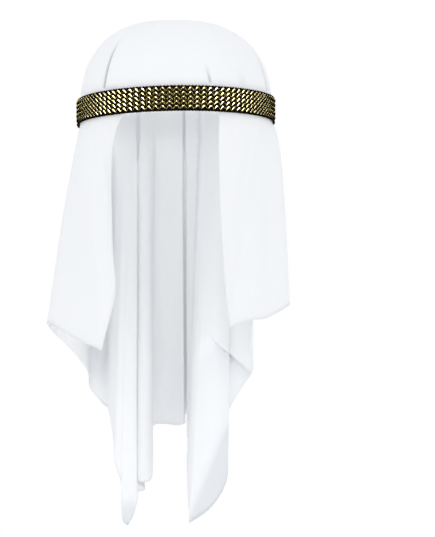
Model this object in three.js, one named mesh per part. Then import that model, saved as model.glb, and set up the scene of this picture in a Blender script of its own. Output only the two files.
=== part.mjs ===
// Emir costume headdress: a square of thin white cloth draped over the head, its front edge at the
// brow and its corners hanging in points, held by a ring of flat black and gold braid.
// Millimetres, +Z up. The face looks along -Y, and the origin is the middle of the braid's ring.
import * as THREE from "three";

// The head that the cloth goes round, measured to the middle of the cloth behind the braid.
const HALF_BREADTH = 81;
const HALF_LENGTH = 101.5;
const FRONT_RISE = 2.8; // the ring sits this much higher at the brow, and lower at the nape
const RIGHT_RISE = 1.4; // and this much higher at the viewer's right, and lower at the left

// The crown, a dome with full shoulders.
const CROWN_HEIGHT = 77.5;
const CROWN_FULLNESS = 2.5; // 2 would be an ellipse, more is squarer
const APEX = new THREE.Vector2(1, 6);
const GATHER_START = 0.5; // share of the way out from the apex where the gathers begin
const GATHER_ABOVE = 0.5; // share of a tuck that still shows above the braid
const TUCK_FADE = 20; // height over which a tuck in the crown rises or dies away

// The cloth and the braid.
const CLOTH_THICK = 1.2;
const BRAID_HEIGHT = 20;
const BRAID_THICK = 2;
const BRAID_CHAMFER = 0.6;
const BRAID_GAP = 0.3;
const BRAID_CLEAR = 1; // the crown ends this far above the braid, and the fall starts as far below it
const BROW_COVER = 2; // the braid hides the brow edge by this much

// How finely the surfaces are faceted.
const CROWN_ROWS = 8;
const FALL_ROWS = 11;
const COLUMN_WIDTH = 15;
const BRAID_STEPS = 72;

// The folds in order round the sheet's edge, from the front corner at the viewer's left, round the
// back, to the same corner. Each row is a line from the apex to the hem:
// turn   where it passes the braid, degrees from the brow's middle towards the viewer's left
// tuck   how far forward it is gathered behind the braid
// x y z  where it ends, on the hem
// flare  how it gets there, 1 for straight and less for leaving the braid sooner
// A row with no hem point ends behind the braid.
const FOLD_COLUMNS = ["fold", "turn", "tuck", "x", "y", "z", "flare"];
const FOLD_ROWS = [
  ["left_corner", 63, 0, -59, -79, -198, 1],
  ["left_panel", 75, 0, -82, -46, -190, 0.8],
  ["left_side", 90, 0, -108, -4, -178, 0.8],
  ["left_turn", 102, 0, -107, 50, -190, 0.8],
  ["left_back", 109, 0, -94, 66, -204, 0.8],
  ["left_slope", 115, 0, -82, 90, -224, 0.8],
  ["left_valley", 126, 0, -81, 122, -243, 0.8],
  ["left_valley_in", 133, 0, -71, 122, -255, 0.8],
  ["ridge1_left", 138, 3, -61, 72, -260, 0.8],
  ["ridge1_front", 142.5, 5, -56, 56, -284, 0.8],
  ["ridge1_step", 145, 6, -54, 49, -305, 0.8],
  ["ridge1_low", 147, 6, -49, 47, -321, 0.8],
  ["tip_left", 148.5, 6, -48.2, 42.5, -355, 0.8],
  ["left_tip", 149.3, 6, -44.5, 44, -359.5, 0.8],
  ["tip_right", 150.1, 4, -40, 47, -350.5, 0.8],
  ["ridge1_right", 151.5, 3, -37.2, 55, -333, 0.8],
  ["pocket_left", 152.6, 0, -46, 92, -335, 0.8],
  ["pocket_right", 153.8, 0, -36, 106, -329, 0.8],
  ["ridge2_left", 154.9, 3, -37, 60, -319, 0.8],
  ["ridge2_front", 158.5, 6, -30, 51, -320, 0.8],
  ["ridge2_right", 162, 5, -24.5, 58, -319, 0.8],
  ["ridge2_low", 164, 2, -23, 86, -306, 0.8],
  ["ridge2_back", 166, 0, -24, 114, -276, 0.8],
  ["back_centre", 173, 0, -13, 124, -275, 0.9],
  ["back_right", 179.5, 1, -2, 121, -276, 0.9],
  ["slit_left", 182.3, 2.5, 5.3, 118, -274, 0.9],
  ["slit_in_left", 182.9, 0, 2, 142, -268, 0.9],
  ["slit_in_right", 184.1, 0, 12, 144, -268, 0.9],
  ["slit_right", 184.7, 2.5, 7.5, 113, -279, 0.9],
  ["tail_shade", 189, 3, 8, 104, -286, 0.8],
  ["step_in", 193.6, 2.5, 11, 96, -290, 0.8],
  ["step_edge", 194.9, 7, 8.2, 84, -296, 0.8],
  ["tail_left", 200, 6, 8, 72, -318, 0.8],
  ["right_tip", 206, 4, 10, 62, -358.5, 0.8],
  ["tail_hem", 211, 3, 27.5, 58, -348, 0.8],
  ["tail_right", 216, 2, 42.5, 70, -326, 0.8],
  ["tail_side", 219.5, 1, 44, 82, -292, 0.8],
  ["ridge3_under", 223, 0, 44.5, 88, -262, 0.8],
  ["ridge3_hem", 228, 0, 57.4, 88, -239, 0.8],
  ["ridge3_tip", 233, 0, 66.4, 82, -225, 0.8],
  ["ridge3_side", 240, 0, 65, 66, -200, 0.6],
  ["ridge3_top", 246, 0, 66, 54, -178, 0.5],
  ["right_fold", 251, 0, 71, 40, -167, 0.5],
  ["right_turn", 258, 0, 91, 26, -164, 0.45],
  ["right_side", 270, 0, 96, 0, -163, 0.38],
  ["right_panel", 283, 0, 75, -36, -173.5, 0.5],
  ["right_panel_in", 291, 0, 63, -55, -174.5, 0.7],
  ["right_corner", 299, 0, 46, -72, -180, 0.9],
  ["right_edge_low", 304, 0, 43, -78, -158, 1],
  ["right_edge_mid", 314, 0, 37, -86, -81, 1],
  ["right_edge_brow", 322, 0, 36, -92, -33, 1],
  ["right_edge_top", 327, 0, 36, -90.5, -12, 1],
  ["brow_right", 334.2],
  ["brow_centre", 360],
  ["brow_left", 386.5],
  ["left_edge_top", 393, 0, -42.5, -87, -13, 1],
  ["left_edge_brow", 398, 0, -49, -86, -37, 1],
  ["left_edge_mid", 407, 0, -49, -86, -117, 1],
  ["left_edge_low", 416, 0, -47, -84, -150, 1],
  ["left_corner", 423, 0, -59, -79, -198, 1],
];
const SHEET_CORNERS = ["left_corner", "left_tip", "right_tip", "right_corner"];

// Tucks in the crown, seen above the braid. Each stands out from the dome along its turn, and falls
// away within the degrees before and after that line and at a top height over the ring.
const TUCK_COLUMNS = ["tuck", "turn", "before", "after", "height", "top"];
const TUCK_ROWS = [
  ["left_tuck", 43, 16, 5, 2.6, 62],
  ["right_tuck", 294, 5, 14, 2.2, 52],
  ["brow_tuck", 339, 4, 9, 1.2, 46],
];

function named(columns, rows) {
  return rows.map((row) => Object.fromEntries(columns.map((column, i) => [column, row[i]])));
}
const FOLDS = named(FOLD_COLUMNS, FOLD_ROWS);
const TUCKS = named(TUCK_COLUMNS, TUCK_ROWS);

const BRAID_EDGE = BRAID_HEIGHT / 2;
const CLEAR_OF_BRAID = BRAID_EDGE + BRAID_CLEAR;

// Height of the tilted ring's middle over a place on plan.
function ringLevel(x, y) {
  return (RIGHT_RISE * x) / HALF_BREADTH - (FRONT_RISE * y) / HALF_LENGTH;
}

// The head's oval at the ring, moved outward by a distance.
function ovalPoint(turn, outward = 0) {
  const angle = THREE.MathUtils.degToRad(turn);
  const normal = new THREE.Vector2(-Math.sin(angle) / HALF_BREADTH, -Math.cos(angle) / HALF_LENGTH);
  const onOval = new THREE.Vector2(-HALF_BREADTH * Math.sin(angle), -HALF_LENGTH * Math.cos(angle));
  return onOval.addScaledVector(normal.normalize(), outward);
}

// Where a fold's line ends.
function hemPoint(fold) {
  if (fold.z !== undefined) return new THREE.Vector3(fold.x, fold.y, fold.z);
  const { x, y } = ovalPoint(fold.turn);
  return new THREE.Vector3(x, y, ringLevel(x, y) - BRAID_EDGE + BROW_COVER);
}

// The lines of the sheet between two corners: smooth curves through the rows of the fold table.
function edgeLines(folds) {
  const hems = folds.map(hemPoint);
  const hemCurve = new THREE.CatmullRomCurve3(hems, false, "centripetal");
  const leads = folds.map(({ turn, tuck = 0, flare = 1 }) => new THREE.Vector3(turn, tuck, flare));
  const leadCurve = new THREE.CatmullRomCurve3(leads, false, "centripetal");
  const spans = folds.length - 1;
  const lines = [];
  for (let span = 0; span < spans; span += 1) {
    const width = hems[span].distanceTo(hems[span + 1]);
    const steps = THREE.MathUtils.clamp(Math.round(width / COLUMN_WIDTH), 2, 4);
    for (let step = 0; step < steps; step += 1) {
      const place = (span + step / steps) / spans;
      const lead = leadCurve.getPoint(place);
      const tuck = Math.max(lead.y, 0);
      lines.push({ turn: lead.x, tuck, flare: lead.z, hem: hemCurve.getPoint(place) });
    }
  }
  return lines;
}

// All lines round the sheet, with the curves broken at its corners so that these stay sharp.
function sheetLines() {
  const lines = [];
  let start = 0;
  for (let end = 1; end < FOLDS.length; end += 1) {
    if (!SHEET_CORNERS.includes(FOLDS[end].fold)) continue;
    lines.push(...edgeLines(FOLDS.slice(start, end + 1)));
    start = end;
  }
  return lines;
}

// How far the crown's tucks stand out on a line, at a height over the ring.
function tuckHeight(turn, height) {
  const { smoothstep } = THREE.MathUtils;
  const heights = TUCKS.map((tuck) => {
    const past = turn - tuck.turn;
    const nearest = past - 360 * Math.round(past / 360);
    const across = Math.exp(-((nearest / (nearest < 0 ? tuck.before : tuck.after)) ** 2));
    const below = smoothstep(height, BRAID_EDGE, BRAID_EDGE + TUCK_FADE);
    const above = 1 - smoothstep(height, tuck.top - TUCK_FADE, tuck.top);
    return tuck.height * across * below * above;
  });
  return Math.max(...heights);
}

// A point of the crown on a line. The dome's section is a squared ellipse, and rise is its angle
// from the apex.
function crownPoint(line, rise) {
  const out = Math.sin(rise) ** (2 / CROWN_FULLNESS);
  const up = Math.cos(rise) ** (2 / CROWN_FULLNESS);
  const gather = THREE.MathUtils.smoothstep(out, GATHER_START, 1);
  const foot = ovalPoint(line.turn);
  const level = ringLevel(foot.x, foot.y);
  const rim = ovalPoint(line.turn, tuckHeight(line.turn, up * CROWN_HEIGHT));
  rim.y -= line.tuck * GATHER_ABOVE * gather;
  const plan = APEX.clone().lerp(rim, out);
  return new THREE.Vector3(plan.x, plan.y, THREE.MathUtils.lerp(level, CROWN_HEIGHT, up));
}

// A point of the fall on a line: drop is 0 under the braid and 1 at the hem.
function fallPoint(line, drop) {
  const foot = ovalPoint(line.turn);
  const underBraid = ringLevel(foot.x, foot.y) - CLEAR_OF_BRAID;
  const top = Math.max(underBraid, line.hem.z + BROW_COVER);
  const plan = new THREE.Vector2(foot.x, foot.y - line.tuck);
  plan.lerp(new THREE.Vector2(line.hem.x, line.hem.y), drop ** line.flare);
  return new THREE.Vector3(plan.x, plan.y, THREE.MathUtils.lerp(top, line.hem.z, drop));
}

// The middle of the cloth, one list of points for each line, from the first ring under the apex.
function sheetGrid(lines) {
  const lastRise = Math.acos((CLEAR_OF_BRAID / CROWN_HEIGHT) ** (CROWN_FULLNESS / 2));
  return lines.map((line) => {
    const points = [];
    for (let row = 1; row <= CROWN_ROWS; row += 1) {
      points.push(crownPoint(line, (lastRise * row) / CROWN_ROWS));
    }
    for (let row = 0; row <= FALL_ROWS; row += 1) points.push(fallPoint(line, row / FALL_ROWS));
    return points;
  });
}

// Triangles of one skin over a grid closed round its columns, with a fan at the apex.
function skinTriangles(columns, rows) {
  const at = (column, row) => 1 + (column % columns) * rows + row;
  const triangles = [];
  for (let column = 0; column < columns; column += 1) {
    triangles.push([0, at(column + 1, 0), at(column, 0)]);
    for (let row = 0; row + 1 < rows; row += 1) {
      const corners = [at(column, row), at(column + 1, row), at(column + 1, row + 1), at(column, row + 1)];
      triangles.push([corners[0], corners[1], corners[2]], [corners[0], corners[2], corners[3]]);
    }
  }
  return triangles;
}

function solid(points, triangles) {
  const geometry = new THREE.BufferGeometry();
  geometry.setFromPoints(points);
  geometry.setIndex(triangles.flat());
  geometry.computeVertexNormals();
  return geometry;
}

// The draped sheet as a wall of even thickness: two skins and a rim along the hem.
function clothGeometry() {
  const grid = sheetGrid(sheetLines());
  const columns = grid.length;
  const rows = grid[0].length;
  const middle = [new THREE.Vector3(APEX.x, APEX.y, CROWN_HEIGHT), ...grid.flat()];
  const skin = skinTriangles(columns, rows);
  const normals = solid(middle, skin).getAttribute("normal");
  const offset = (distance) =>
    middle.map((point, i) =>
      point.clone().addScaledVector(new THREE.Vector3().fromBufferAttribute(normals, i), distance),
    );
  const points = [...offset(CLOTH_THICK / 2), ...offset(-CLOTH_THICK / 2)];
  const inside = middle.length;
  const triangles = [...skin];
  for (const [a, b, c] of skin) triangles.push([inside + a, inside + c, inside + b]);
  for (let column = 0; column < columns; column += 1) {
    const here = (column + 1) * rows;
    const next = ((column + 1) % columns) * rows + rows;
    triangles.push([here, next, inside + next], [here, inside + next, inside + here]);
  }
  return solid(points, triangles);
}

// The ring of flat braid: a chamfered strip swept round the oval, tilted with the ring.
function braidGeometry() {
  const inner = CLOTH_THICK / 2 + BRAID_GAP;
  const outer = inner + BRAID_THICK;
  const section = [
    [inner, BRAID_EDGE - BRAID_CHAMFER],
    [inner, BRAID_CHAMFER - BRAID_EDGE],
    [inner + BRAID_CHAMFER, -BRAID_EDGE],
    [outer - BRAID_CHAMFER, -BRAID_EDGE],
    [outer, BRAID_CHAMFER - BRAID_EDGE],
    [outer, BRAID_EDGE - BRAID_CHAMFER],
    [outer - BRAID_CHAMFER, BRAID_EDGE],
    [inner + BRAID_CHAMFER, BRAID_EDGE],
  ];
  const points = [];
  const triangles = [];
  const at = (step, corner) => (step % BRAID_STEPS) * section.length + (corner % section.length);
  for (let step = 0; step < BRAID_STEPS; step += 1) {
    const turn = (360 * step) / BRAID_STEPS;
    for (const [out, up] of section) {
      const { x, y } = ovalPoint(turn, out);
      points.push(new THREE.Vector3(x, y, ringLevel(x, y) + up));
    }
    for (let corner = 0; corner < section.length; corner += 1) {
      const here = [at(step, corner), at(step + 1, corner), at(step + 1, corner + 1), at(step, corner + 1)];
      triangles.push([here[0], here[2], here[1]], [here[0], here[3], here[2]]);
    }
  }
  return solid(points, triangles);
}

const whiteCloth = new THREE.MeshStandardMaterial({ color: "#f1f4f8", roughness: 0.9, metalness: 0 });
const goldBraid = new THREE.MeshStandardMaterial({ color: "#4d3d14", roughness: 0.5, metalness: 0.4 });

const headCloth = new THREE.Mesh(clothGeometry(), whiteCloth);
headCloth.name = "head_cloth";

const headBand = new THREE.Mesh(braidGeometry(), goldBraid);
headBand.name = "head_band";

const headdress = new THREE.Group();
headdress.add(headCloth, headBand);

export default headdress;
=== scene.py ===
# %% [markdown]
# # Emir costume headdress
#
# The headdress is two things: a square of thin white cloth and a ring of flat braid. The cloth is laid
# over the head with one edge at the brow, and the ring is pushed down over it. Nothing is sewn into
# shape, so every fold comes from how the square hangs. The CAD part holds both pieces at their real
# size, and this lesson gives them their looks.

import math
import random

import bmesh
import bpy
import numpy as np
from mathutils import Matrix, Vector, noise


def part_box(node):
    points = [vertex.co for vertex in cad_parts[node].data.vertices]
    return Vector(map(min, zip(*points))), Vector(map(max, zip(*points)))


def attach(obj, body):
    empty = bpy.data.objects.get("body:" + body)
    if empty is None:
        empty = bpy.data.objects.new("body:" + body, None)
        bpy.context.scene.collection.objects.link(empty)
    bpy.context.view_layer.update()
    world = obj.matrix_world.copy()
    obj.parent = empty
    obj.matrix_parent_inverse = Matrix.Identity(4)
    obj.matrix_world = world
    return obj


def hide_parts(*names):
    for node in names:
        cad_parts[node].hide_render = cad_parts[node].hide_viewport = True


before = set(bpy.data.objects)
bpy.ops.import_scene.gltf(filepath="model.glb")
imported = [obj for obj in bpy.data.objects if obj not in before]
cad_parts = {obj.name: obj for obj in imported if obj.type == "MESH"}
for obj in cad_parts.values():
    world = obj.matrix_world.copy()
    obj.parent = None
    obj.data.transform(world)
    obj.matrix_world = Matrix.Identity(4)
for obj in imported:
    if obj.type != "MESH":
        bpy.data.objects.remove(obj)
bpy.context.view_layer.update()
MM = 0.001

# %% [markdown]
# ## The camera
#
# The photograph looks straight at the face, level, from a little way below the braid. A lens can be
# guessed by eye, but it is surer to work it out: the braid spans 198 pixels, it is about 168 mm wide,
# so a pixel is 0.85 mm there, and the picture's height at that distance gives the lens. The ring isn't
# in the middle of the picture, so the camera stands aside from it instead of being turned.

# %% Camera
PHOTO_SIZE = (435, 537)
PIXEL = 0.85 * MM
RING_PIXEL = (176.1, 113.2)
STAND_OFF = 1.5

camera_data = bpy.data.cameras.new("photo_camera")
camera_data.sensor_fit = "VERTICAL"
camera_data.lens = camera_data.sensor_height * STAND_OFF / (PHOTO_SIZE[1] * PIXEL)
camera = bpy.data.objects.new("photo_camera", camera_data)
camera.location = (
    (PHOTO_SIZE[0] / 2 - RING_PIXEL[0]) * PIXEL,
    -STAND_OFF,
    (RING_PIXEL[1] - PHOTO_SIZE[1] / 2) * PIXEL,
)
camera.rotation_euler = (math.radians(90), 0, 0)
bpy.context.scene.collection.objects.link(camera)
bpy.context.scene.camera = camera
print("lens", round(camera_data.lens, 1), "mm")

# %% [markdown]
# ## The studio
#
# White cloth on a white ground needs light from all around it, with a little more from the front and
# from below, so that the folds stay pale and only their depths turn grey. Two small boxes stand inside
# the headdress, one under the braid and one at the nape, where the room's light hardly comes. Metal
# needs the opposite: a dim room with a few bright boxes in front and at the sides to mirror. A studio
# has both, with flags that keep each light off the other subject. Here a light's ray visibility does
# the work of the flags.

# %% Soft boxes
SOFT_BOXES = {
    # name: place, aim, width, height, watts, what it lights
    "front_box": ((0.05, -2.2, -1.2), (0, 0, -0.2), 2.4, 0.8, 5.5, "cloth"),
    "hood_box": ((0.012, -0.06, -0.045), (-0.04, 0.07, 0.01), 0.05, 0.05, 0.03, "cloth"),
    "nape_box": ((-0.004, -0.09, -0.21), (-0.004, 0.1, -0.27), 0.06, 0.1, 0.018, "cloth"),
    "glint_box": ((0, -2.0, 0.8), (0, 0, 0), 2.6, 1.2, 85, "metal"),
    "gold_fill": ((0, -2.6, 0), (0, 0, 0), 3.0, 3.0, 1.2, "metal"),
    "left_fill": ((-2.2, -1.0, 0.1), (0, 0, 0), 2.0, 2.0, 3, "metal"),
    "right_fill": ((2.2, -1.0, 0.1), (0, 0, 0), 2.0, 2.0, 3, "metal"),
}


def soft_box(name, place, aim, width, height, watts, subject):
    """A rectangular light aimed at a point, seen only by one kind of surface."""
    light = bpy.data.lights.new(name, "AREA")
    light.shape = "RECTANGLE"
    light.size = width
    light.size_y = height
    light.energy = watts
    box = bpy.data.objects.new(name, light)
    box.location = place
    box.rotation_euler = (Vector(aim) - Vector(place)).to_track_quat("-Z", "Y").to_euler()
    box.visible_camera = False
    box.visible_glossy = subject == "metal"
    box.visible_diffuse = subject == "cloth"
    bpy.context.scene.collection.objects.link(box)


for name, row in SOFT_BOXES.items():
    soft_box(name, *row)
print(len(SOFT_BOXES), "soft boxes")

# %% [markdown]
# The room is the world. It lights the cloth with a faintly cool white, while the camera sees it plain
# white, and a Light Path node tells the two apart. Foil that mirrored so much white would look like
# silver, so the room is hidden from glossy rays. The Standard view transform keeps white as white.

# %% Room
ROOM_LIGHT = 0.99
ROOM_TINT = (0.955, 0.975, 1.0, 1)
SEEN_WHITE = (1, 1, 1, 1)

world = bpy.data.worlds.new("pale_room")
world.use_nodes = True
bpy.context.scene.world = world
world.cycles_visibility.glossy = False
room = world.node_tree
room_light = room.nodes["Background"]
room_light.inputs["Color"].default_value = ROOM_TINT
room_light.inputs["Strength"].default_value = ROOM_LIGHT
seen_room = room.nodes.new("ShaderNodeBackground")
seen_room.inputs["Color"].default_value = SEEN_WHITE
rays = room.nodes.new("ShaderNodeLightPath")
choose = room.nodes.new("ShaderNodeMixShader")
room.links.new(rays.outputs["Is Camera Ray"], choose.inputs["Fac"])
room.links.new(room_light.outputs["Background"], choose.inputs[1])
room.links.new(seen_room.outputs["Background"], choose.inputs[2])
room.links.new(choose.outputs["Shader"], room.nodes["World Output"].inputs["Surface"])
bpy.context.scene.view_settings.view_transform = "Standard"
print("room light", ROOM_LIGHT)

# %% [markdown]
# The floor is a plain pale disc where a wearer would stand. It is round, because a square would show
# its corners in slanting views, and the foil doesn't mirror it either. It is the first thing with a
# mesh and a finish, so the two helpers for those start here.

# %% Floor
FLOOR_LEVEL = -1.6
FLOOR_RADIUS = 6.0
FLOOR_SIDES = 96
FLOOR_COLOR = (0.9, 0.9, 0.9)


def new_material(name, color, roughness, metallic=0.0):
    """A Principled material with its constant values set on the shader's own sockets."""
    material = bpy.data.materials.new(name)
    material.use_nodes = True
    shader = material.node_tree.nodes["Principled BSDF"]
    shader.inputs["Base Color"].default_value = (*color, 1)
    shader.inputs["Roughness"].default_value = roughness
    shader.inputs["Metallic"].default_value = metallic
    return material, shader


def new_object(name, bm, material):
    """Makes a finished bmesh an object at the origin, with smooth faces."""
    mesh = bpy.data.meshes.new(name)
    bm.to_mesh(mesh)
    bm.free()
    mesh.shade_smooth()
    mesh.materials.append(material)
    piece = bpy.data.objects.new(name, mesh)
    bpy.context.scene.collection.objects.link(piece)
    print(name, len(mesh.polygons), "faces")
    return piece


floor_bm = bmesh.new()
bmesh.ops.create_circle(floor_bm, cap_ends=True, segments=FLOOR_SIDES, radius=FLOOR_RADIUS)
bmesh.ops.translate(floor_bm, verts=floor_bm.verts, vec=(0, 0, FLOOR_LEVEL))
floor_paint, _ = new_material("pale_floor", FLOOR_COLOR, roughness=0.8)
floor = new_object("floor", floor_bm, floor_paint)
floor.visible_glossy = False

# %% [markdown]
# ## How the square hangs
#
# A cloth simulation would drape a square by itself, but it would not fall into the folds of this one.
# So the drape is drawn the way a tailor would describe it: an oval for the head, a dome for the crown
# and a table of folds. The oval is read back from the CAD ring, less the layers that lie on it. The
# ring is tilted a little, up at the brow and up at the viewer's right.

# %% The ring and the crown
BRAID_STACK = 2.9 * MM  # from the middle of the cloth out to the braid's face
ring_low, ring_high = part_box("head_band")
HALF_BREADTH = (ring_high.x - ring_low.x) / 2 - BRAID_STACK
HALF_LENGTH = (ring_high.y - ring_low.y) / 2 - BRAID_STACK
FRONT_RISE = 2.8 * MM
RIGHT_RISE = 1.4 * MM
BRAID_HEIGHT = 20 * MM
BRAID_CLEAR = 1 * MM  # how far from the braid's edges the cloth starts to fall freely
BROW_COVER = 2 * MM  # how far the brow's hem stays up behind the braid
CROWN_HEIGHT = 77.5 * MM
CROWN_FULLNESS = 2.5  # 2 is a plain dome, and more is squarer
APEX = np.array([0.001, 0.006])
GATHER_START = 0.5  # share of the way from the apex where gathers begin
GATHER_ABOVE = 0.5  # share of a gather that shows above the braid


def ring_level(x, y):
    """How high the tilted ring's middle is at a place."""
    return RIGHT_RISE * x / HALF_BREADTH - FRONT_RISE * y / HALF_LENGTH


def oval(turn, outward=0.0):
    """The head's oval at a turn in degrees, moved outward."""
    angle = np.radians(turn)
    normal = np.stack([-np.sin(angle) / HALF_BREADTH, -np.cos(angle) / HALF_LENGTH], -1)
    normal /= np.linalg.norm(normal, axis=-1, keepdims=True)
    place = np.stack([-HALF_BREADTH * np.sin(angle), -HALF_LENGTH * np.cos(angle)], -1)
    return place + normal * outward


print("head oval", round(2 * HALF_BREADTH / MM), "by", round(2 * HALF_LENGTH / MM), "mm")

# %% [markdown]
# The table has one row for each fold, saying where its line passes the braid and where it ends on the
# hem. It is the CAD part's table in metres, apart from one row that the left tail's folds hide: the
# pocket between them hangs a little lower here. Smooth curves through the rows give every line in
# between.

# %% The fold table
FOLDS = {
    # turn from the brow and tuck at the braid, then the hem's x, y and z, then the flare
    "left_corner": (63, 0, -0.059, -0.079, -0.198, 1.0),
    "left_panel": (75, 0, -0.082, -0.046, -0.190, 0.8),
    "left_side": (90, 0, -0.108, -0.004, -0.178, 0.8),
    "left_turn": (102, 0, -0.107, 0.050, -0.190, 0.8),
    "left_back": (109, 0, -0.094, 0.066, -0.204, 0.8),
    "left_slope": (115, 0, -0.082, 0.090, -0.224, 0.8),
    "left_valley": (126, 0, -0.081, 0.122, -0.243, 0.8),
    "left_valley_in": (133, 0, -0.071, 0.122, -0.255, 0.8),
    "ridge1_left": (138, 0.003, -0.061, 0.072, -0.260, 0.8),
    "ridge1_front": (142.5, 0.005, -0.056, 0.056, -0.284, 0.8),
    "ridge1_step": (145, 0.006, -0.054, 0.049, -0.305, 0.8),
    "ridge1_low": (147, 0.006, -0.049, 0.047, -0.321, 0.8),
    "tip_left": (148.5, 0.006, -0.0482, 0.0425, -0.355, 0.8),
    "left_tip": (149.3, 0.006, -0.0445, 0.044, -0.3595, 0.8),
    "tip_right": (150.1, 0.004, -0.040, 0.047, -0.3505, 0.8),
    "ridge1_right": (151.5, 0.003, -0.0372, 0.055, -0.333, 0.8),
    "pocket_left": (152.6, 0, -0.046, 0.092, -0.335, 0.8),
    "pocket_right": (153.8, 0, -0.030, 0.106, -0.334, 0.8),
    "ridge2_left": (154.9, 0.003, -0.037, 0.060, -0.319, 0.8),
    "ridge2_front": (158.5, 0.006, -0.030, 0.051, -0.320, 0.8),
    "ridge2_right": (162, 0.005, -0.0245, 0.058, -0.319, 0.8),
    "ridge2_low": (164, 0.002, -0.023, 0.086, -0.306, 0.8),
    "ridge2_back": (166, 0, -0.024, 0.114, -0.276, 0.8),
    "back_centre": (173, 0, -0.013, 0.124, -0.275, 0.9),
    "back_right": (179.5, 0.001, -0.002, 0.121, -0.276, 0.9),
    "slit_left": (182.3, 0.0025, 0.0053, 0.118, -0.274, 0.9),
    "slit_in_left": (182.9, 0, 0.002, 0.142, -0.268, 0.9),
    "slit_in_right": (184.1, 0, 0.012, 0.144, -0.268, 0.9),
    "slit_right": (184.7, 0.0025, 0.0075, 0.113, -0.279, 0.9),
    "tail_shade": (189, 0.003, 0.008, 0.104, -0.286, 0.8),
    "step_in": (193.6, 0.0025, 0.011, 0.096, -0.290, 0.8),
    "step_edge": (194.9, 0.007, 0.0082, 0.084, -0.296, 0.8),
    "tail_left": (200, 0.006, 0.008, 0.072, -0.318, 0.8),
    "right_tip": (206, 0.004, 0.010, 0.062, -0.3585, 0.8),
    "tail_hem": (211, 0.003, 0.0275, 0.058, -0.348, 0.8),
    "tail_right": (216, 0.002, 0.0425, 0.070, -0.326, 0.8),
    "tail_side": (219.5, 0.001, 0.044, 0.082, -0.292, 0.8),
    "ridge3_under": (223, 0, 0.0445, 0.088, -0.262, 0.8),
    "ridge3_hem": (228, 0, 0.0574, 0.088, -0.239, 0.8),
    "ridge3_tip": (233, 0, 0.0664, 0.082, -0.225, 0.8),
    "ridge3_side": (240, 0, 0.065, 0.066, -0.200, 0.6),
    "ridge3_top": (246, 0, 0.066, 0.054, -0.178, 0.5),
    "right_fold": (251, 0, 0.071, 0.040, -0.167, 0.5),
    "right_turn": (258, 0, 0.091, 0.026, -0.164, 0.45),
    "right_side": (270, 0, 0.096, 0, -0.163, 0.38),
    "right_panel": (283, 0, 0.075, -0.036, -0.1735, 0.5),
    "right_panel_in": (291, 0, 0.063, -0.055, -0.1745, 0.7),
    "right_corner": (299, 0, 0.046, -0.072, -0.180, 0.9),
    "right_edge_low": (304, 0, 0.043, -0.078, -0.158, 1.0),
    "right_edge_mid": (314, 0, 0.037, -0.086, -0.081, 1.0),
    "right_edge_brow": (322, 0, 0.036, -0.092, -0.033, 1.0),
    "right_edge_top": (327, 0, 0.036, -0.0905, -0.012, 1.0),
    "brow_right": (334.2,),
    "brow_centre": (360,),
    "brow_left": (386.5,),
    "left_edge_top": (393, 0, -0.0425, -0.087, -0.013, 1.0),
    "left_edge_brow": (398, 0, -0.049, -0.086, -0.037, 1.0),
    "left_edge_mid": (407, 0, -0.049, -0.086, -0.117, 1.0),
    "left_edge_low": (416, 0, -0.047, -0.084, -0.150, 1.0),
    "left_corner_again": (423, 0, -0.059, -0.079, -0.198, 1.0),
}
SHEET_CORNERS = ["left_corner", "left_tip", "right_tip", "right_corner", "left_corner_again"]


def hem_point(fold):
    """A row's hem point, which for the brow lies behind the braid."""
    if len(fold) > 1:
        return fold[2:5]
    x, y = oval(fold[0])
    return x, y, ring_level(x, y) - BRAID_HEIGHT / 2 + BROW_COVER


print(len(FOLDS), "fold lines round the sheet")

# %% [markdown]
# Curves that pass through every row without swinging wide of it are called centripetal Catmull-Rom
# curves, and the CAD part uses the same ones. Between two corners of the square the hem is one such
# curve, and at the corners it breaks, so that they stay as sharp as the cut.

# %% Curves through the rows
def smooth_curve(points, places):
    """A smooth curve through points, at places counted in points from the first one."""
    points = np.asarray(points, float)
    points = np.concatenate([[2 * points[0] - points[1]], points, [2 * points[-1] - points[-2]]])
    span = np.clip(np.floor(places).astype(int), 0, len(points) - 4)
    share = (places - span)[:, None]
    before, start, end, after = (points[span + i] for i in range(4))
    gap_in, gap, gap_out = (
        np.sqrt(np.linalg.norm(b - a, axis=1))[:, None]
        for a, b in ((before, start), (start, end), (end, after))
    )
    leave = (start - before) / gap_in - (end - before) / (gap_in + gap) + (end - start) / gap
    arrive = (end - start) / gap - (after - start) / (gap + gap_out) + (after - end) / gap_out
    square, cube = share**2, share**3
    return (
        start * (2 * cube - 3 * square + 1)
        + leave * gap * (cube - 2 * square + share)
        + end * (3 * square - 2 * cube)
        + arrive * gap * (cube - square)
    )


def even_places(points, count):
    """Places, as shares of the list, that are evenly spaced along a line of points, and its length."""
    lengths = np.linalg.norm(np.diff(points, axis=0), axis=1)
    run = np.concatenate([[0], np.cumsum(lengths)])
    return np.interp(np.linspace(0, run[-1], count), run, np.linspace(0, 1, len(run))), run[-1]


def smooth_step(value, low, high):
    """Rises smoothly from 0 at low to 1 at high."""
    share = np.clip((value - low) / (high - low), 0, 1)
    return share * share * (3 - 2 * share)


BROW_REACH = 33
BROW_POINTS = 50
brow_turns = np.linspace(-BROW_REACH, BROW_REACH, BROW_POINTS)
brow_run = even_places(oval(brow_turns), 2)[1]
print("brow hem about", round(brow_run / MM), "mm round")

# %% [markdown]
# Each fold line runs from the apex over the crown, straight down behind the braid, and then falls to
# its hem point. Lines with a small flare leave the head early and hang straight below.

# %% Lines from the apex to the hem
CROWN_POINTS = 60
FALL_POINTS = 120


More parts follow.
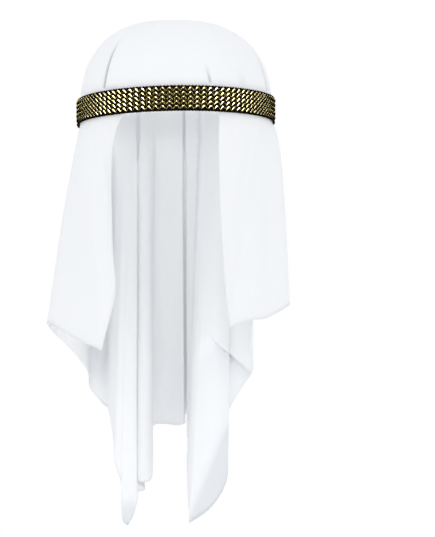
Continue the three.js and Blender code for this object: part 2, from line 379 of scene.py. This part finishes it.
def fold_lines(turn, tuck, flare, hem):
    """Points of each line from the apex to the hem, as an array of lines, points and x, y, z."""
    foot = oval(turn)
    level = ring_level(foot[:, 0], foot[:, 1])
    clear = BRAID_HEIGHT / 2 + BRAID_CLEAR
    last_rise = math.acos((clear / CROWN_HEIGHT) ** (CROWN_FULLNESS / 2))
    points = []
    for rise in np.linspace(0, last_rise, CROWN_POINTS):
        out = math.sin(rise) ** (2 / CROWN_FULLNESS)
        up = math.cos(rise) ** (2 / CROWN_FULLNESS)
        rim = oval(turn)
        rim[:, 1] -= tuck * GATHER_ABOVE * smooth_step(out, GATHER_START, 1)
        plan = APEX + (rim - APEX) * out
        points.append(np.column_stack([plan, level * (1 - up) + CROWN_HEIGHT * up]))
    top = np.maximum(level - clear, hem[:, 2] + BROW_COVER)
    start = foot - np.column_stack([np.zeros_like(tuck), tuck])
    for drop in np.linspace(0, 1, FALL_POINTS):
        plan = start + (hem[:, :2] - start) * (drop**flare)[:, None]
        points.append(np.column_stack([plan, top + (hem[:, 2] - top) * drop]))
    return np.stack(points, 1)


print("each line has", CROWN_POINTS + FALL_POINTS, "points")

# %% [markdown]
# The sheet has four edges, so the drape is kept as four charts, one below each edge. A chart says where
# the cloth hangs, in even steps along the hem and in even steps down every line, so the sheet is not
# stretched along a line.

# %% A chart of the drape
EDGE_STEPS = 600
DOWN_STEPS = 260
FINE_STEPS = 4 * EDGE_STEPS


def edge_chart(folds):
    """The drape below one edge of the square, in even steps along its hem and down its lines."""
    hems = [hem_point(fold) for fold in folds]
    leads = [(fold[0], fold[1], fold[5]) if len(fold) > 1 else (fold[0], 0, 1) for fold in folds]
    spans = len(folds) - 1
    fine = smooth_curve(hems, np.linspace(0, spans, FINE_STEPS))
    places, length = even_places(fine, EDGE_STEPS)
    hem = smooth_curve(hems, places * spans)
    lead = smooth_curve(leads, places * spans)
    lines = fold_lines(lead[:, 0], np.maximum(lead[:, 1], 0), lead[:, 2], hem)
    chart = np.empty((EDGE_STEPS, DOWN_STEPS, 4))
    for line, turn, steps in zip(lines, lead[:, 0], chart):
        along, _ = even_places(line, DOWN_STEPS)
        for axis in range(3):
            steps[:, axis] = np.interp(along, np.linspace(0, 1, len(line)), line[:, axis])
        steps[:, 3] = turn
    return chart, length


EDGE_NAMES = ("left", "back", "right", "front")
names = list(FOLDS)
marks = [names.index(corner) for corner in SHEET_CORNERS]
charts = {}
for edge, start, end in zip(EDGE_NAMES, marks, marks[1:]):
    charts[edge], hem_length = edge_chart([FOLDS[name] for name in names[start:end + 1]])
    print(edge, "hem follows", round(hem_length / MM), "mm of folds")

# %% [markdown]
# ## The cloth
#
# The sheet itself starts as what it is, a flat square grid. A ray from the apex through a point of the
# grid meets the square's edge somewhere, which tells the point's fold line, and the share of that way
# tells how far down the line it hangs.

# %% From the flat square to the chart
SHEET_SIDE = 0.56
APEX_TO_FRONT = 0.15


def on_square(flat):
    """The edge that a ray from the apex through a flat point meets, where, and the point's share of it."""
    half, front, back = SHEET_SIDE / 2, APEX_TO_FRONT, SHEET_SIDE - APEX_TO_FRONT
    across, along = flat.x, flat.y + half - front
    shares = (-across / half, along / back, across / half, -along / front)
    share = max(shares)
    edge = EDGE_NAMES[shares.index(share)]
    if share == 0:
        return edge, 0.5, 0
    side = (along / share + front) / SHEET_SIDE
    width = (across / share + half) / SHEET_SIDE
    return edge, {"left": side, "back": width, "right": 1 - side, "front": 1 - width}[edge], share


def on_chart(flat):
    """Where a flat point hangs, as x, y, z and the turn of its line."""
    edge, place, share = on_square(flat)
    line = min(max(place, 0), 1) * (EDGE_STEPS - 1)
    down = min(share, 1) * (DOWN_STEPS - 1)
    i, j = min(int(line), EDGE_STEPS - 2), min(int(down), DOWN_STEPS - 2)
    u, v = line - i, down - j
    corner = charts[edge][i:i + 2, j:j + 2]
    this_line = corner[0, 0] * (1 - v) + corner[0, 1] * v
    next_line = corner[1, 0] * (1 - v) + corner[1, 1] * v
    return this_line * (1 - u) + next_line * u


middle = on_chart(Vector((0, 0, 0)))
print("the middle of the square hangs at", [round(c / MM) for c in middle[:3]], "mm")

# %% [markdown]
# Four tucks with sharp edges cross the crown, where the braid gathers the cloth. At the right a fold
# slants across the sheet, and the cloth below it lies further back. A point has to know how far it is
# from each of them.

# %% Tucks and the slanting fold
CROWN_TUCKS = {
    # turn at the braid, degrees it leans per metre up, reach of its raised side, width, step, top, painted
    # shade
    "left_tuck": (45, -85, 14, 1.2, 0.9 * MM, 0.058, 0.9),
    "right_tuck": (289.5, 20, -14, 3.0, 0.6 * MM, 0.050, 0.35),
    "brow_tuck": (336.8, 160, -6, 0.9, 0.8 * MM, 0.032, 0.8),
    "temple_tuck": (317, 60, -6, 2.5, 0.2 * MM, 0.030, 0.2),
}
OVERHANG_LINE = ((0.0275, -0.1902), (0.0662, -0.2262))  # x and z of both ends of the slanting fold
OVERHANG_TURNS = (200, 250)
OVERHANG_BEHIND = 0.03
OVERHANG_UNDER = -0.15


def past_tuck(turn, height, tuck):
    """Degrees from a tuck's line, at a height over the ring."""
    past = turn - tuck[0] - tuck[1] * height
    return past - 360 * round(past / 360)


def past_overhang(x, z):
    """How far a place lies along the slanting fold, as a share of it, and how far below."""
    start, end = (Vector(point) for point in OVERHANG_LINE)
    line = end - start
    offset = Vector((x, z)) - start
    return offset.dot(line) / line.length_squared, offset.dot(Vector((line.y, -line.x)).normalized())


def in_overhang(x, y, z, turn):
    """Whether a place belongs to the part of the sheet that the slanting fold crosses."""
    first, last = OVERHANG_TURNS
    return first < turn < last and y > OVERHANG_BEHIND and z < OVERHANG_UNDER


print(len(CROWN_TUCKS), "tucks and one slanting fold")

# %% [markdown]
# Tucks and fold are too fine for the grid, so the cells along them are cut smaller while the sheet is
# still flat. The sheet carries a UV map for its weave, which is simply its flat place, and two numbers
# for each point: how much shade is painted into its colour deep in a fold, and how far light goes into the
# cloth there.

# %% The flat square
SHEET_CELLS = 176
TUCK_CUTS = 3
TUCK_REACH = 7
FINE_ALONG = (-0.1, 1.2)
FINE_ACROSS = (-5 * MM, 8 * MM)


def near_detail(face):
    """Whether a flat face lies along a tuck of the crown or along the slanting fold."""
    x, y, z, turn = on_chart(face.calc_center_median())
    if in_overhang(x, y, z, turn):
        share, below = past_overhang(x, z)
        on_line = FINE_ALONG[0] < share < FINE_ALONG[1]
        return on_line and FINE_ACROSS[0] < below < FINE_ACROSS[1]
    return any(
        0 < z < tuck[5] and abs(past_tuck(turn, z, tuck)) < TUCK_REACH
        for tuck in CROWN_TUCKS.values()
    )


sheet_bm = bmesh.new()
weave_uv = sheet_bm.loops.layers.uv.new("weave")
# painted shade: how much the colour is darkened where a fold lies deep
painted_shade = sheet_bm.verts.layers.float.new("painted_shade")
lets_light = sheet_bm.verts.layers.float.new("lets_light")
bmesh.ops.create_grid(sheet_bm, x_segments=SHEET_CELLS, y_segments=SHEET_CELLS, size=SHEET_SIDE / 2)
fine_faces = [face for face in sheet_bm.faces if near_detail(face)]
fine_set = set(fine_faces)
fine_edges = [edge for edge in sheet_bm.edges if not fine_set.isdisjoint(edge.link_faces)]
bmesh.ops.subdivide_edges(sheet_bm, edges=fine_edges, cuts=TUCK_CUTS, use_grid_fill=True)
for face in sheet_bm.faces:
    for loop in face.loops:
        loop[weave_uv].uv = loop.vert.co.xy
print(len(sheet_bm.faces), "faces,", len(fine_faces), "of the cells cut finer")

# %% [markdown]
# The fold table leaves out whatever is finer than a fold. The first such thing is the tucks: each is a
# step, raised on one side of its line, with a groove at its foot that has shade painted into its colour.
# It starts just over the braid and fades out up the crown.

# %% Steps of the tucks
TUCK_FADE_IN = 4 * MM
TUCK_FADE_OUT = 24 * MM
TUCK_GROOVE = 1.5  # times the step that the groove sinks
GROOVE_AT = 0.5  # of the width, from the tuck's line


def tuck_step(turn, height):
    """How far the tucks lift or sink the crown at a place, and how much shade is painted into its colour
    in a groove.
    """
    total = shade = 0.0
    for tuck in CROWN_TUCKS.values():
        _, _, reach, width, step, top, dark = tuck
        past = math.copysign(1, reach) * past_tuck(turn, height, tuck)
        lifted = math.exp(-((past / reach) ** 2)) * (1 - smooth_step(past, -width, width))
        sunk = math.exp(-((past / width - GROOVE_AT) ** 2))
        edge = BRAID_HEIGHT / 2 + BRAID_CLEAR
        ends = smooth_step(height, top - TUCK_FADE_OUT, top)
        fade = smooth_step(height, edge, edge + TUCK_FADE_IN) * (1 - ends)
        total += step * fade * (lifted - TUCK_GROOVE * sunk)
        # painted shade in the groove
        shade = max(shade, dark * fade * sunk)
    return total, shade


print("tucks:", ", ".join(CROWN_TUCKS))

# %% [markdown]
# The back has two deep creases and a shallow one. The fold table gives their walls. Here the lips of
# the left crease are drawn together below the braid, shade is painted into the colour of each one's depth
# near the braid or the hem, and some light is let through the walls, as real cloth would let it.

# %% Deep creases of the back
CREASES = {
    # turn, half its width in degrees, painted shade at the braid, how far that reaches down,
    # painted shade at its hem, how far its lips close, how deep light goes into its walls
    "left_crease": (153.2, 1.4, 0.2, 0.03, 0.3, 2.1 * MM, 8 * MM),
    "right_crease": (183.5, 0.9, 0.5, 0.06, 0, 0, 1.8 * MM),
    "step_crease": (193.8, 0.8, 0.2, 0.12, 0, 0, 0),
}
CREASE_SPAN = 4  # half widths from its line that a crease is worked out for
CREASE_START = 14 * MM  # over the ring, because the back is seen under the front of the braid
CREASE_HEM = 0.3  # below the ring, where the shade near the hem begins
CREASE_HEM_FADE = 10 * MM
CREASE_CLOSES = 2.0  # metres down in which the lips would come apart again
LIPS_START = 10 * MM
LIPS_CLOSED = 40 * MM
GLOW_WIDTH = 1.5


def crease(turn, below):
    """The shade painted into the back's creases below the ring, their lips' shift and their walls' glow.
    """
    shade = shift = glow = 0.0
    for at, width, dark, reach, hem_dark, lips, wall_glow in CREASES.values():
        past = (turn - at) / width
        if abs(past) < CREASE_SPAN and below > -CREASE_START:
            inside = math.exp(-(past**4))
            hem_dark *= smooth_step(below, CREASE_HEM, CREASE_HEM + CREASE_HEM_FADE)
            # painted shade near the braid and near the hem
            shade = max(shade, inside * max(dark * math.exp(-max(below, 0) / reach), hem_dark))
            closed = smooth_step(below, LIPS_START, LIPS_CLOSED)
            near_lip = math.exp(-below / CREASE_CLOSES - (abs(past) - 1) ** 2)
            shift -= lips * closed * math.copysign(1, past) * near_lip
            glow = max(glow, wall_glow * math.exp(-((past / GLOW_WIDTH) ** 4)) * closed)
    return shade, shift, glow


print(len(CREASES), "creases")

# %% [markdown]
# Then come the small heights that make cloth look like cloth: gathers that the braid presses into it,
# a slow unevenness from a noise, and one soft dent in each front panel.

# %% Gathers, drift and dents
GATHER_DEPTH = 0.2 * MM
GATHER_REACH = 16 * MM
GATHER_FADE = 4 * MM
GATHERS = ((23, 0.4), (41, 1.7), (67, 2.9))  # waves round the head, and where each starts
GATHERS_OVER_BRAID = 0.4
DRIFT_DEPTH = 1.2 * MM
DRIFT_SIZE = 45 * MM
DRIFT_FADE = 30 * MM
DRIFT_TALL = 0.4  # less than 1 makes the unevenness taller than it is wide
DENT_FADE_IN = 20 * MM
DENT_FADE_OUT = 30 * MM

PANEL_DENTS = {
    # turn, reach in degrees, top, bottom, depth
    "left_dent": (50, 4, -0.035, -0.105, 1.6 * MM),
    "right_dent": (305, 4, -0.004, -0.115, 1.6 * MM),
}


def relief(turn, place):
    """Small heights over the drape: gathers at the braid, dents and slow unevenness."""
    height = place.z - ring_level(place.x, place.y)
    clear = abs(height) - BRAID_HEIGHT / 2 - BRAID_CLEAR
    total = 0.0
    if clear > 0:
        wave = sum(math.sin(math.radians(turn) * count + shift) for count, shift in GATHERS)
        depth = GATHER_DEPTH * (GATHERS_OVER_BRAID if height > 0 else 1.0)
        total += depth * wave * smooth_step(clear, 0, GATHER_FADE) * math.exp(-clear / GATHER_REACH)
        drift = noise.noise(Vector((place.x, place.y, place.z * DRIFT_TALL)) / DRIFT_SIZE)
        total += DRIFT_DEPTH * drift * smooth_step(clear, 0, DRIFT_FADE)
    for at, reach, top, bottom, depth in PANEL_DENTS.values():
        past = (turn - at + 180) % 360 - 180
        ends = smooth_step(-place.z, -bottom - DENT_FADE_OUT, -bottom)
        along = smooth_step(-place.z, -top, -top + DENT_FADE_IN) * (1 - ends)
        total -= depth * math.exp(-((past / reach) ** 2)) * along
    return total


print(len(GATHERS), "waves of gathers and", len(PANEL_DENTS), "dents")

# %% [markdown]
# Two things move the cloth straight back. Under the slanting fold it steps back and comes forward
# again lower down, and the tips of both tails curl back along a slanting line. Both also get a little
# shade painted into their colour.

# %% The slanting fold and the curled tips
OVERHANG_DEPTH = 12 * MM
OVERHANG_REACH = 14 * MM
# painted shade under the slanting fold
OVERHANG_SHADE = 0.08
OVERHANG_EDGE = 1.5 * MM
OVERHANG_OPENS = 0.35
# painted shade on the curled tips
CURL_SHADE = 0.2
CURL_SHADE_AT = 10 * MM
CURL_TOP = 0.255
CURL_FULL = 0.285

TAIL_CURLS = {
    # a point of the line, x and z, the way that it curls, and how steeply
    "left_tail": ((-0.048, -0.329), (0.0, -1.0), 0.6),
    "right_tail": ((0.0123, -0.3358), (0.923, -0.385), 1.5),
}


def overhang(turn, place):
    """How far the cloth steps back under the slanting fold."""
    if not in_overhang(*place, turn):
        return 0.0
    share, below = past_overhang(place.x, place.z)
    step = smooth_step(below, 0, OVERHANG_EDGE) * math.exp(-max(below, 0) / OVERHANG_REACH)
    return OVERHANG_DEPTH * step * smooth_step(share, 0, OVERHANG_OPENS)


def tail_curl(place):
    """How far back the tips of the tails turn at a place."""
    total = 0.0
    for (x, z), (toward_x, toward_z), slope in TAIL_CURLS.values():
        past = (place.x - x) * toward_x + (place.z - z) * toward_z
        here = smooth_step(-place.z, CURL_TOP, CURL_FULL) * ((place.x > 0) == (x > 0))
        total += slope * here * max(past, 0)
    return total


print("the fold steps back", OVERHANG_DEPTH / MM, "mm, and", len(TAIL_CURLS), "tips curl")

# %% [markdown]
# Now every point is carried to its place on the chart. Two passes of smoothing take the sharpest bends
# out, as thread would, and then the fine steps, lips, dents and curls are added, with the shade that is
# painted into the colour of the tucks, creases, curls and slanting fold.

# %% Drape it
SOFTEN_PASSES = 2
SOFTEN_SHARE = 0.5
SHEET_GLOW = 0.3 * MM  # how deep light goes into the cloth outside the creases

from_edge = [SHEET_SIDE / 2 - max(abs(v.co.x), abs(v.co.y)) for v in sheet_bm.verts]
turns = []
for vert in sheet_bm.verts:
    x, y, z, turn = on_chart(vert.co)
    vert.co = (x, y, z)
    turns.append(turn)
inner = [v for v in sheet_bm.verts if not v.is_boundary]
for _ in range(SOFTEN_PASSES):
    bmesh.ops.smooth_vert(
        sheet_bm, verts=inner, factor=SOFTEN_SHARE, use_axis_x=True, use_axis_y=True, use_axis_z=True
    )
for vert, turn in zip(sheet_bm.verts, turns):
    angle = math.radians(turn)
    crown = max(vert.co.z, 0) / CROWN_HEIGHT**2
    outward = Vector((-math.sin(angle) / HALF_BREADTH, -math.cos(angle) / HALF_LENGTH, crown))
    outward.normalize()
    height = vert.co.z - ring_level(vert.co.x, vert.co.y)
    lift, tuck_shade = tuck_step(turn, height)
    crease_shade, lip_shift, wall_glow = crease(turn, -height)
    curl = tail_curl(vert.co)
    curl_shade = CURL_SHADE * smooth_step(curl, 0, CURL_SHADE_AT)
    # painted shade of the tucks, creases and curled tips
    vert[painted_shade] = max(tuck_shade, crease_shade, curl_shade)
    vert[lets_light] = max(SHEET_GLOW, wall_glow)
    vert.co.x += lip_shift
    vert.co += outward * (relief(turn, vert.co) + lift)
    fold_step = overhang(turn, vert.co)
    # painted shade under the slanting fold
    vert[painted_shade] = max(vert[painted_shade], OVERHANG_SHADE * fold_step / OVERHANG_DEPTH)
    vert.co.y += curl + fold_step
sheet_area = sum(face.calc_area() for face in sheet_bm.faces)
print("draped area", round(sheet_area, 4), "of", round(SHEET_SIDE**2, 4), "square metres")

# %% [markdown]
# ## White cloth
#
# The cloth is a thin plain weave of bright white polyester: dull, with a faint sheen. A little light
# goes into a sheet this thin and comes out again beside, which is why its folds never look quite grey.
# That is subsurface scattering, and the same share of it for every colour keeps the white neutral.

# %% White cloth finish
CLOTH_COLOR = (0.92, 0.93, 0.945)
white_cloth, cloth_shader = new_material("white_cloth", CLOTH_COLOR, roughness=0.85)
cloth_shader.inputs["Specular IOR Level"].default_value = 0.3
cloth_shader.inputs["Sheen Weight"].default_value = 0.1
cloth_shader.inputs["Subsurface Weight"].default_value = 1.0
cloth_shader.inputs["Subsurface Radius"].default_value = (1, 1, 1)
print(white_cloth.name, "is ready for its weave")

# %% [markdown]
# A weave is two sets of waves that cross, and at this scale it shows only as a fine tooth in the light,
# so it goes into the bump. It runs on the sheet's flat UV map, so the threads follow every fold.

# %% The weave
THREAD = 0.5 * MM
WEAVE_STRENGTH = 0.2


def add_weave(material, shader, uv_name, thread, strength):
    """Crossed waves of thread on a piece's own UV map, as bump."""
    tree = material.node_tree
    uv = tree.nodes.new("ShaderNodeUVMap")
    uv.uv_map = uv_name
    cross = tree.nodes.new("ShaderNodeMath")
    cross.operation = "MULTIPLY"
    for direction, socket in zip(("X", "Y"), cross.inputs):
        wave = tree.nodes.new("ShaderNodeTexWave")
        wave.bands_direction = direction
        wave.inputs["Scale"].default_value = math.pi / (10 * thread)  # at scale 1, a wave is pi / 10 long
        tree.links.new(uv.outputs["UV"], wave.inputs["Vector"])
        tree.links.new(wave.outputs["Fac"], socket)
    bump = tree.nodes.new("ShaderNodeBump")
    bump.inputs["Strength"].default_value = strength
    bump.inputs["Distance"].default_value = thread / 4
    tree.links.new(cross.outputs["Value"], bump.inputs["Height"])
    tree.links.new(bump.outputs["Normal"], shader.inputs["Normal"])


add_weave(white_cloth, cloth_shader, "weave", THREAD, WEAVE_STRENGTH)
print("threads", THREAD / MM, "mm apart")

# %% [markdown]
# The two numbers of each point now reach the finish. One is painted shade: it mixes the colour towards
# grey deep in a fold, where hardly any light comes back out, and the other says how far light goes into
# the cloth.

# %% Shade and glow in the folds
# share of the colour that is left where the painted shade is full
DEEP_SHARE = 0.45


def add_shade(material, shader, attribute, share):
    """Paints shade into the colour: darkens it where a piece's own attribute says that it lies deep."""
    tree = material.node_tree
    deep = tree.nodes.new("ShaderNodeAttribute")
    deep.attribute_name = attribute
    mix = tree.nodes.new("ShaderNodeMix")
    mix.data_type = "RGBA"
    color = shader.inputs["Base Color"].default_value
    mix.inputs["A"].default_value = color
    mix.inputs["B"].default_value = [c * share for c in color[:3]] + [1]
    tree.links.new(deep.outputs["Fac"], mix.inputs["Factor"])
    tree.links.new(mix.outputs["Result"], shader.inputs["Base Color"])


add_shade(white_cloth, cloth_shader, "painted_shade", DEEP_SHARE)
glow = white_cloth.node_tree.nodes.new("ShaderNodeAttribute")
glow.attribute_name = "lets_light"
white_cloth.node_tree.links.new(glow.outputs["Fac"], cloth_shader.inputs["Subsurface Scale"])
cloth = new_object("draped_cloth", sheet_bm, white_cloth)

# %% [markdown]
# A bought square has a narrow turned hem, so the cloth is a little thicker along its edge. The Solidify
# modifier reads that from a vertex group.

# %% Thickness and hem
HEM_WIDTH = 6 * MM
HEM_THICK = 0.5 * MM
PLAIN_SHARE = 0.8

thick = cloth.vertex_groups.new(name="hem")
thick.add([i for i, distance in enumerate(from_edge) if distance < HEM_WIDTH], 1.0, "REPLACE")
thick.add([i for i, distance in enumerate(from_edge) if distance >= HEM_WIDTH], PLAIN_SHARE, "REPLACE")
wall = cloth.modifiers.new("cloth_thickness", "SOLIDIFY")
wall.thickness = HEM_THICK
wall.offset = 0
wall.vertex_group = "hem"
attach(cloth, "root")
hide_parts("head_cloth")
print("cloth", HEM_THICK * PLAIN_SHARE / MM, "mm thick, hem", HEM_THICK / MM, "mm")

# %% [markdown]
# ## The braid
#
# The braid is plaited from flat gold foil and black thread. Each stitch is a V, and the stitches stand
# in columns, one V in the next. Both legs of a V are wide at the top and dive in at the foot, so one leg
# faces a little to the left and the other to the right. That is why the braid glitters in one slant on
# one side of the head and in the other slant on the other side. A painted pattern could not do that, so
# every leg is a small strip of its own, copied round the ring by a loop. The strips need the depth of
# the braid, so they lie on a thinner backing, which is the CAD ring with its face pressed in.

# %% Backing
FACE_PRESSED = 1.1 * MM
MERGE_WITHIN = 0.01 * MM
THREAD_BLACK = (0.008, 0.005, 0.001)

black_thread, thread_shader = new_material("black_thread", THREAD_BLACK, roughness=0.6)
thread_shader.inputs["Specular IOR Level"].default_value = 0.02
backing_bm = bmesh.new()
backing_bm.from_mesh(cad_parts["head_band"].data)
bmesh.ops.remove_doubles(backing_bm, verts=backing_bm.verts, dist=MERGE_WITHIN)
for vert in backing_bm.verts:
    turn = math.degrees(math.atan2(-vert.co.x / HALF_BREADTH, -vert.co.y / HALF_LENGTH))
    middle = Vector((*oval(turn), vert.co.z))
    outward = vert.co - middle
    if outward.length > BRAID_STACK - FACE_PRESSED:
        vert.co = middle + outward.normalized() * (BRAID_STACK - FACE_PRESSED)
backing = new_object("braid_backing", backing_bm, black_thread)
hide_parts("head_band")

# %% [markdown]
# The ring is an oval, so equal steps of angle would crowd the stitches at its ends. The oval is measured
# first, and the places on it are taken at equal steps of its length.

# %% Places on the ring
STITCHES = 104
RING_STEPS = 2001
STRIP_SUNK = 0.45 * MM
STRIP_LEVEL = BRAID_STACK - STRIP_SUNK
HALF_STEP = 0.5  # degrees to each side of a place, to find the braid's direction

ring_line = oval(np.linspace(0, -360, RING_STEPS), STRIP_LEVEL)
ring_places, ring_round = even_places(ring_line, RING_STEPS)
STITCH = ring_round / STITCHES


def ring_place(run, height):
    """Axes on the braid's face: x along it to the viewer's right, y up it and z outward."""
    share = np.interp((run / ring_round) % 1, np.linspace(0, 1, RING_STEPS), ring_places)
    turn = -360 * share
    x, y = oval(turn, STRIP_LEVEL)
    (x0, y0), (x1, y1) = oval(np.array([turn + HALF_STEP, turn - HALF_STEP]), STRIP_LEVEL)
    along = Vector((x1 - x0, y1 - y0, ring_level(x1, y1) - ring_level(x0, y0))).normalized()
    outward = Vector((along.y, -along.x, 0)).normalized()
    axes = Matrix((along, outward.cross(along), outward)).transposed().to_4x4()
    return Matrix.Translation((x, y, ring_level(x, y) + height)) @ axes


print("round the braid", round(ring_round / MM), "mm, one stitch is", round(STITCH / MM, 2), "mm wide")

# %% [markdown]
# One leg is modelled flat, as a bar with its upper rims bevelled. It is then drawn in towards its foot
# and arched, which is all the detail that a strip of this size can show.

# %% One leg of a stitch
STRIP_CUTS = 3
RIM_ROUND = 0.6  # of the strip's thickness
RIM_SEGMENTS = 2
LEG_OVERLAP = 1.1


def strip(name, length, width, thick, arch, foot):
    """A bar along x with rounded upper rims, arched, and drawn in to a share of its width at its foot."""
    bm = bmesh.new()
    bmesh.ops.create_cube(bm, size=1, matrix=Matrix.Diagonal((length, width, thick, 1)))
    long_edges = [e for e in bm.edges if abs(e.verts[0].co.x - e.verts[1].co.x) > length / 2]
    bmesh.ops.subdivide_edges(bm, edges=long_edges, cuts=STRIP_CUTS, use_grid_fill=True)
    rims = [
        e for e in bm.edges
        if all(v.co.z > 0 for v in e.verts) and e.verts[0].co.y * e.verts[1].co.y > 0
        and abs(e.verts[0].co.y) > width / 3
    ]
    bmesh.ops.bevel(
        bm, geom=rims, offset=thick * RIM_ROUND, affect="EDGES",
        segments=RIM_SEGMENTS, profile=0.5, material=-1,
    )
    for vert in bm.verts:
        from_foot = vert.co.x / length + 0.5
        vert.co.y *= foot + (1 - foot) * from_foot
        vert.co.z -= arch * (2 * from_foot - 1) ** 2
    mesh = bpy.data.meshes.new(name)
    bm.to_mesh(mesh)
    bm.free()
    print(name, len(mesh.polygons), "faces")
    return mesh


LEG_RISE = 3.7 * MM
LEG_LENGTH = math.hypot(STITCH / 2, LEG_RISE)
BAR_LENGTH = LEG_LENGTH * LEG_OVERLAP
gold_leg = strip("gold_leg", BAR_LENGTH, width=2.0 * MM, thick=0.5 * MM, arch=0.3 * MM, foot=0.35)
black_leg = strip("black_leg", BAR_LENGTH, width=1.4 * MM, thick=0.6 * MM, arch=0.2 * MM, foot=0.6)

# %% [markdown]
# Two loops plait the ring: one over the rows and one over the stitches of a row. The black legs lie
# between the rows of gold and a little deeper. No hand plaits every stitch alike, so each leg leans a
# little more or less than the next, by a seeded draw that comes out the same each time.

# %% Plait them round the ring
GOLD_ROWS = 5
ROW_PITCH = 3.6 * MM
LEG_LEAN = math.radians(30)
UNEVEN = math.radians(6)
BLACK_SUNK = 0.35 * MM
FROM_POINT = 0.25  # of a stitch, from the point of its V to the middle of a leg


def copy_to(bm, pattern, matrix):
    """Adds a moved copy of a pattern mesh."""
    copy = pattern.copy()
    copy.transform(matrix)
    bm.from_mesh(copy)
    bpy.data.meshes.remove(copy)


def plait(bm, pattern, rows, sunk):
    """Copies a leg to both sides of every stitch in a number of rows, each leg diving at its foot."""
    slope = math.atan2(LEG_RISE, STITCH / 2)
    hand = random.Random(rows)
    for row in range(rows):
        height = (row - (rows - 1) / 2) * ROW_PITCH
        for stitch in range(STITCHES):
            for side in (-1, 1):
                place = ring_place((stitch + FROM_POINT * side) * STITCH, height)
                deep = Matrix.Translation((0, 0, -sunk))
                lean = Matrix.Rotation(-side * LEG_LEAN + hand.uniform(-UNEVEN, UNEVEN), 4, "Y")
                slant = Matrix.Rotation(slope if side > 0 else math.pi - slope, 4, "Z")
                copy_to(bm, pattern, place @ deep @ lean @ slant)


gold_bm = bmesh.new()
plait(gold_bm, gold_leg, GOLD_ROWS, 0)
black_bm = bmesh.new()
plait(black_bm, black_leg, GOLD_ROWS - 1, BLACK_SUNK)
print(len(gold_bm.faces), "gold faces and", len(black_bm.faces), "black faces")

# %% [markdown]
# Small black loops, which makers call picots, finish both edges, two to a stitch. They are so small
# that a flattened ball of few faces stands for each.

# %% Loops along both edges
PICOT = 1.15 * MM
PICOT_SHAPE = (1, 0.75, 0.6, 1)
PICOT_INSET = 0.4 * MM

picot_bm = bmesh.new()
bmesh.ops.create_icosphere(
    picot_bm, subdivisions=1, radius=PICOT, matrix=Matrix.Diagonal(PICOT_SHAPE)
)
picot = bpy.data.meshes.new("picot")
picot_bm.to_mesh(picot)
picot_bm.free()
for edge in (-1, 1):
    height = edge * (BRAID_HEIGHT / 2 - PICOT_INSET)
    for loop in range(2 * STITCHES):
        copy_to(black_bm, picot, ring_place((loop + 0.5) * STITCH / 2, height))
print(4 * STITCHES, "picots,", len(black_bm.faces), "black faces in all")

# %% [markdown]
# ## Gold foil and black thread
#
# Foil is a mirror that has been creased: a metal with small ripples and a warm colour. The thread beside
# it is black and dull. The ripples are small and have no direction, so a noise on Object coordinates
# gives them to both.

# %% Braid finishes
FOIL_GOLD = (0.66, 0.58, 0.29)
gold_foil, foil_shader = new_material("gold_foil", FOIL_GOLD, roughness=0.22, metallic=1.0)


def add_ripple(material, shader, size, strength):
    """Small uneven ripples on Object coordinates, as bump."""
    tree = material.node_tree
    place = tree.nodes.new("ShaderNodeTexCoord")
    ripple = tree.nodes.new("ShaderNodeTexNoise")
    ripple.inputs["Scale"].default_value = 1 / size
    ripple.inputs["Detail"].default_value = 3
    tree.links.new(place.outputs["Object"], ripple.inputs["Vector"])
    bump = tree.nodes.new("ShaderNodeBump")
    bump.inputs["Strength"].default_value = strength
    bump.inputs["Distance"].default_value = size / 4
    tree.links.new(ripple.outputs["Fac"], bump.inputs["Height"])
    tree.links.new(bump.outputs["Normal"], shader.inputs["Normal"])


add_ripple(gold_foil, foil_shader, size=0.8 * MM, strength=0.25)
add_ripple(black_thread, thread_shader, size=0.4 * MM, strength=0.5)
gold = new_object("gold_strips", gold_bm, gold_foil)
black = new_object("black_strips", black_bm, black_thread)
for piece in (backing, gold, black):
    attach(piece, "root")
